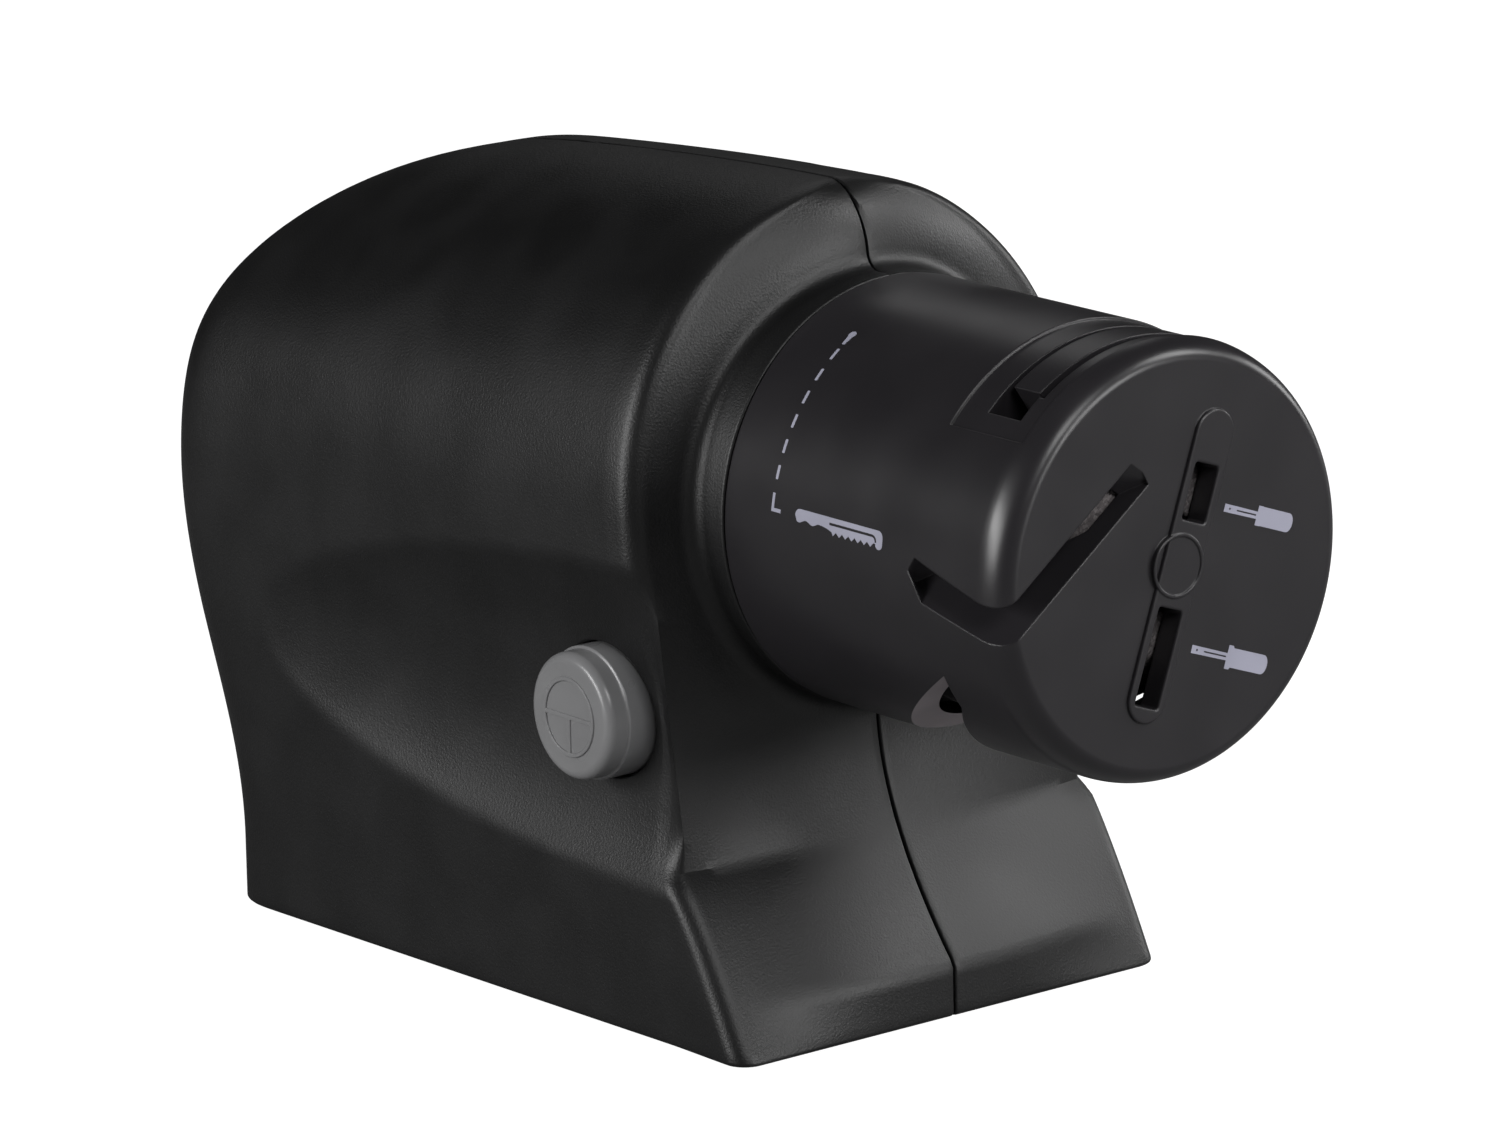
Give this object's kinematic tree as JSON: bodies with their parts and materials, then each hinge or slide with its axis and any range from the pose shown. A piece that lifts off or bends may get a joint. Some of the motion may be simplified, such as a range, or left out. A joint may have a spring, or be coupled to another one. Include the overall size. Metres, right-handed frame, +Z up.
{
  "type": "electric knife sharpener",
  "caption": "Cordless electric knife sharpener: hump-shaped black housing, round guide cap with blade, scissor and screwdriver slots over a motor-driven wheel, and a thumb button.",
  "frame": {"origin": "on the ground, below the middle of the whole object's bounding box", "axes": "+Z up, the guide cap points to -Y, the button side is -X"},
  "size_m": [0.0878, 0.1764, 0.1161],
  "materials": {
    "housing_black": "fine-grain matte black",
    "cap_charcoal": "satin dark charcoal",
    "button_grey": "glossy mid grey",
    "rubber_black": "matte",
    "abrasive": "coarse light grey grit",
    "inner_black_plastic": "moulded",
    "inner_white_plastic": "moulded",
    "zinc_steel": "zinc plated",
    "spring_steel": "nickel plated",
    "brass": "plain",
    "copper": "copper",
    "ferrite": "dull dark grey",
    "felt_grey": "pressed felt",
    "cell_wrap": "satin green sleeve",
    "lead_red": "flexible insulation",
    "lead_black": "flexible insulation"
  },
  "bodies": {
    "housing": {"left_shell": "housing_black", "right_shell": "housing_black", "foot_front_left": "rubber_black", "foot_front_right": "rubber_black", "foot_rear_left": "rubber_black", "foot_rear_right": "rubber_black", "shell_screw_top_front": "zinc_steel", "shell_screw_top_rear": "zinc_steel", "shell_screw_base_rear": "zinc_steel", "shell_screw_base_front": "zinc_steel", "motor_nose": "inner_black_plastic", "motor_can": "zinc_steel", "motor_magnet_left": "ferrite", "motor_magnet_right": "ferrite", "motor_end_cap": "inner_white_plastic", "motor_terminal_left": "brass", "motor_terminal_right": "brass", "motor_screw_lower": "zinc_steel", "motor_screw_upper": "zinc_steel", "dust_seal": "felt_grey", "switch_bracket": "inner_black_plastic", "bracket_screw_lower": "zinc_steel", "bracket_screw_upper": "zinc_steel", "switch_body": "inner_black_plastic", "switch_terminal_lower": "brass", "switch_terminal_upper": "brass", "battery_tray": "inner_black_plastic", "contact_plate_negative": "spring_steel", "contact_plate_front_bridge": "spring_steel", "contact_plate_positive": "spring_steel", "contact_plate_rear_bridge_left": "spring_steel", "contact_plate_rear_bridge_right": "spring_steel", "battery_1": "cell_wrap", "battery_2": "cell_wrap", "battery_3": "cell_wrap", "battery_4": "cell_wrap", "battery_spring_1": "spring_steel", "battery_spring_2": "spring_steel", "battery_spring_3": "spring_steel", "battery_spring_4": "spring_steel", "lead_battery_to_switch": "lead_red", "lead_switch_to_motor": "lead_red", "lead_battery_to_motor": "lead_black"},
    "guide_cap": {"head_cap": "cap_charcoal"},
    "rotor": {"motor_shaft": "spring_steel", "motor_armature": "spring_steel", "motor_commutator": "copper", "wheel_hub": "inner_white_plastic", "grinding_wheel": "abrasive", "wheel_washer": "zinc_steel", "wheel_screw": "zinc_steel"},
    "push_button": {"button_cap": "button_grey", "button_spring": "spring_steel"},
    "plunger": {"switch_plunger": "inner_white_plastic"},
    "bay_cover": {"battery_cover": "housing_black"}
  },
  "joints": [
    {"name": "cap_turn", "type": "hinge", "parent": "housing", "child": "guide_cap", "pos_m": [0, -0.03, 0.0743], "axis": [0, 1, 0], "range_deg": [-30, 0]},
    {"name": "wheel_spin", "type": "hinge", "parent": "housing", "child": "rotor", "pos_m": [0, -0.06, 0.0743], "axis": [0, 1, 0], "continuous": true},
    {"name": "button_press", "type": "slide", "parent": "housing", "child": "push_button", "axis": [1, 0, 0], "range_m": [0, 0.003], "stiffness_N_per_m": 800, "springref_m": -0.002, "deforming": ["button_spring"]},
    {"name": "plunger_slide", "type": "slide", "parent": "housing", "child": "plunger", "axis": [1, 0, 0], "range_m": [0, 0.003]},
    {"name": "cover_lift_off", "type": "slide", "parent": "housing", "child": "bay_cover", "axis": [0, 0, -1], "range_m": [0, 0.02]}
  ],
  "couplings": [
    {"joint": "plunger_slide", "follows": "button_press", "ratio": 1}
  ]
}
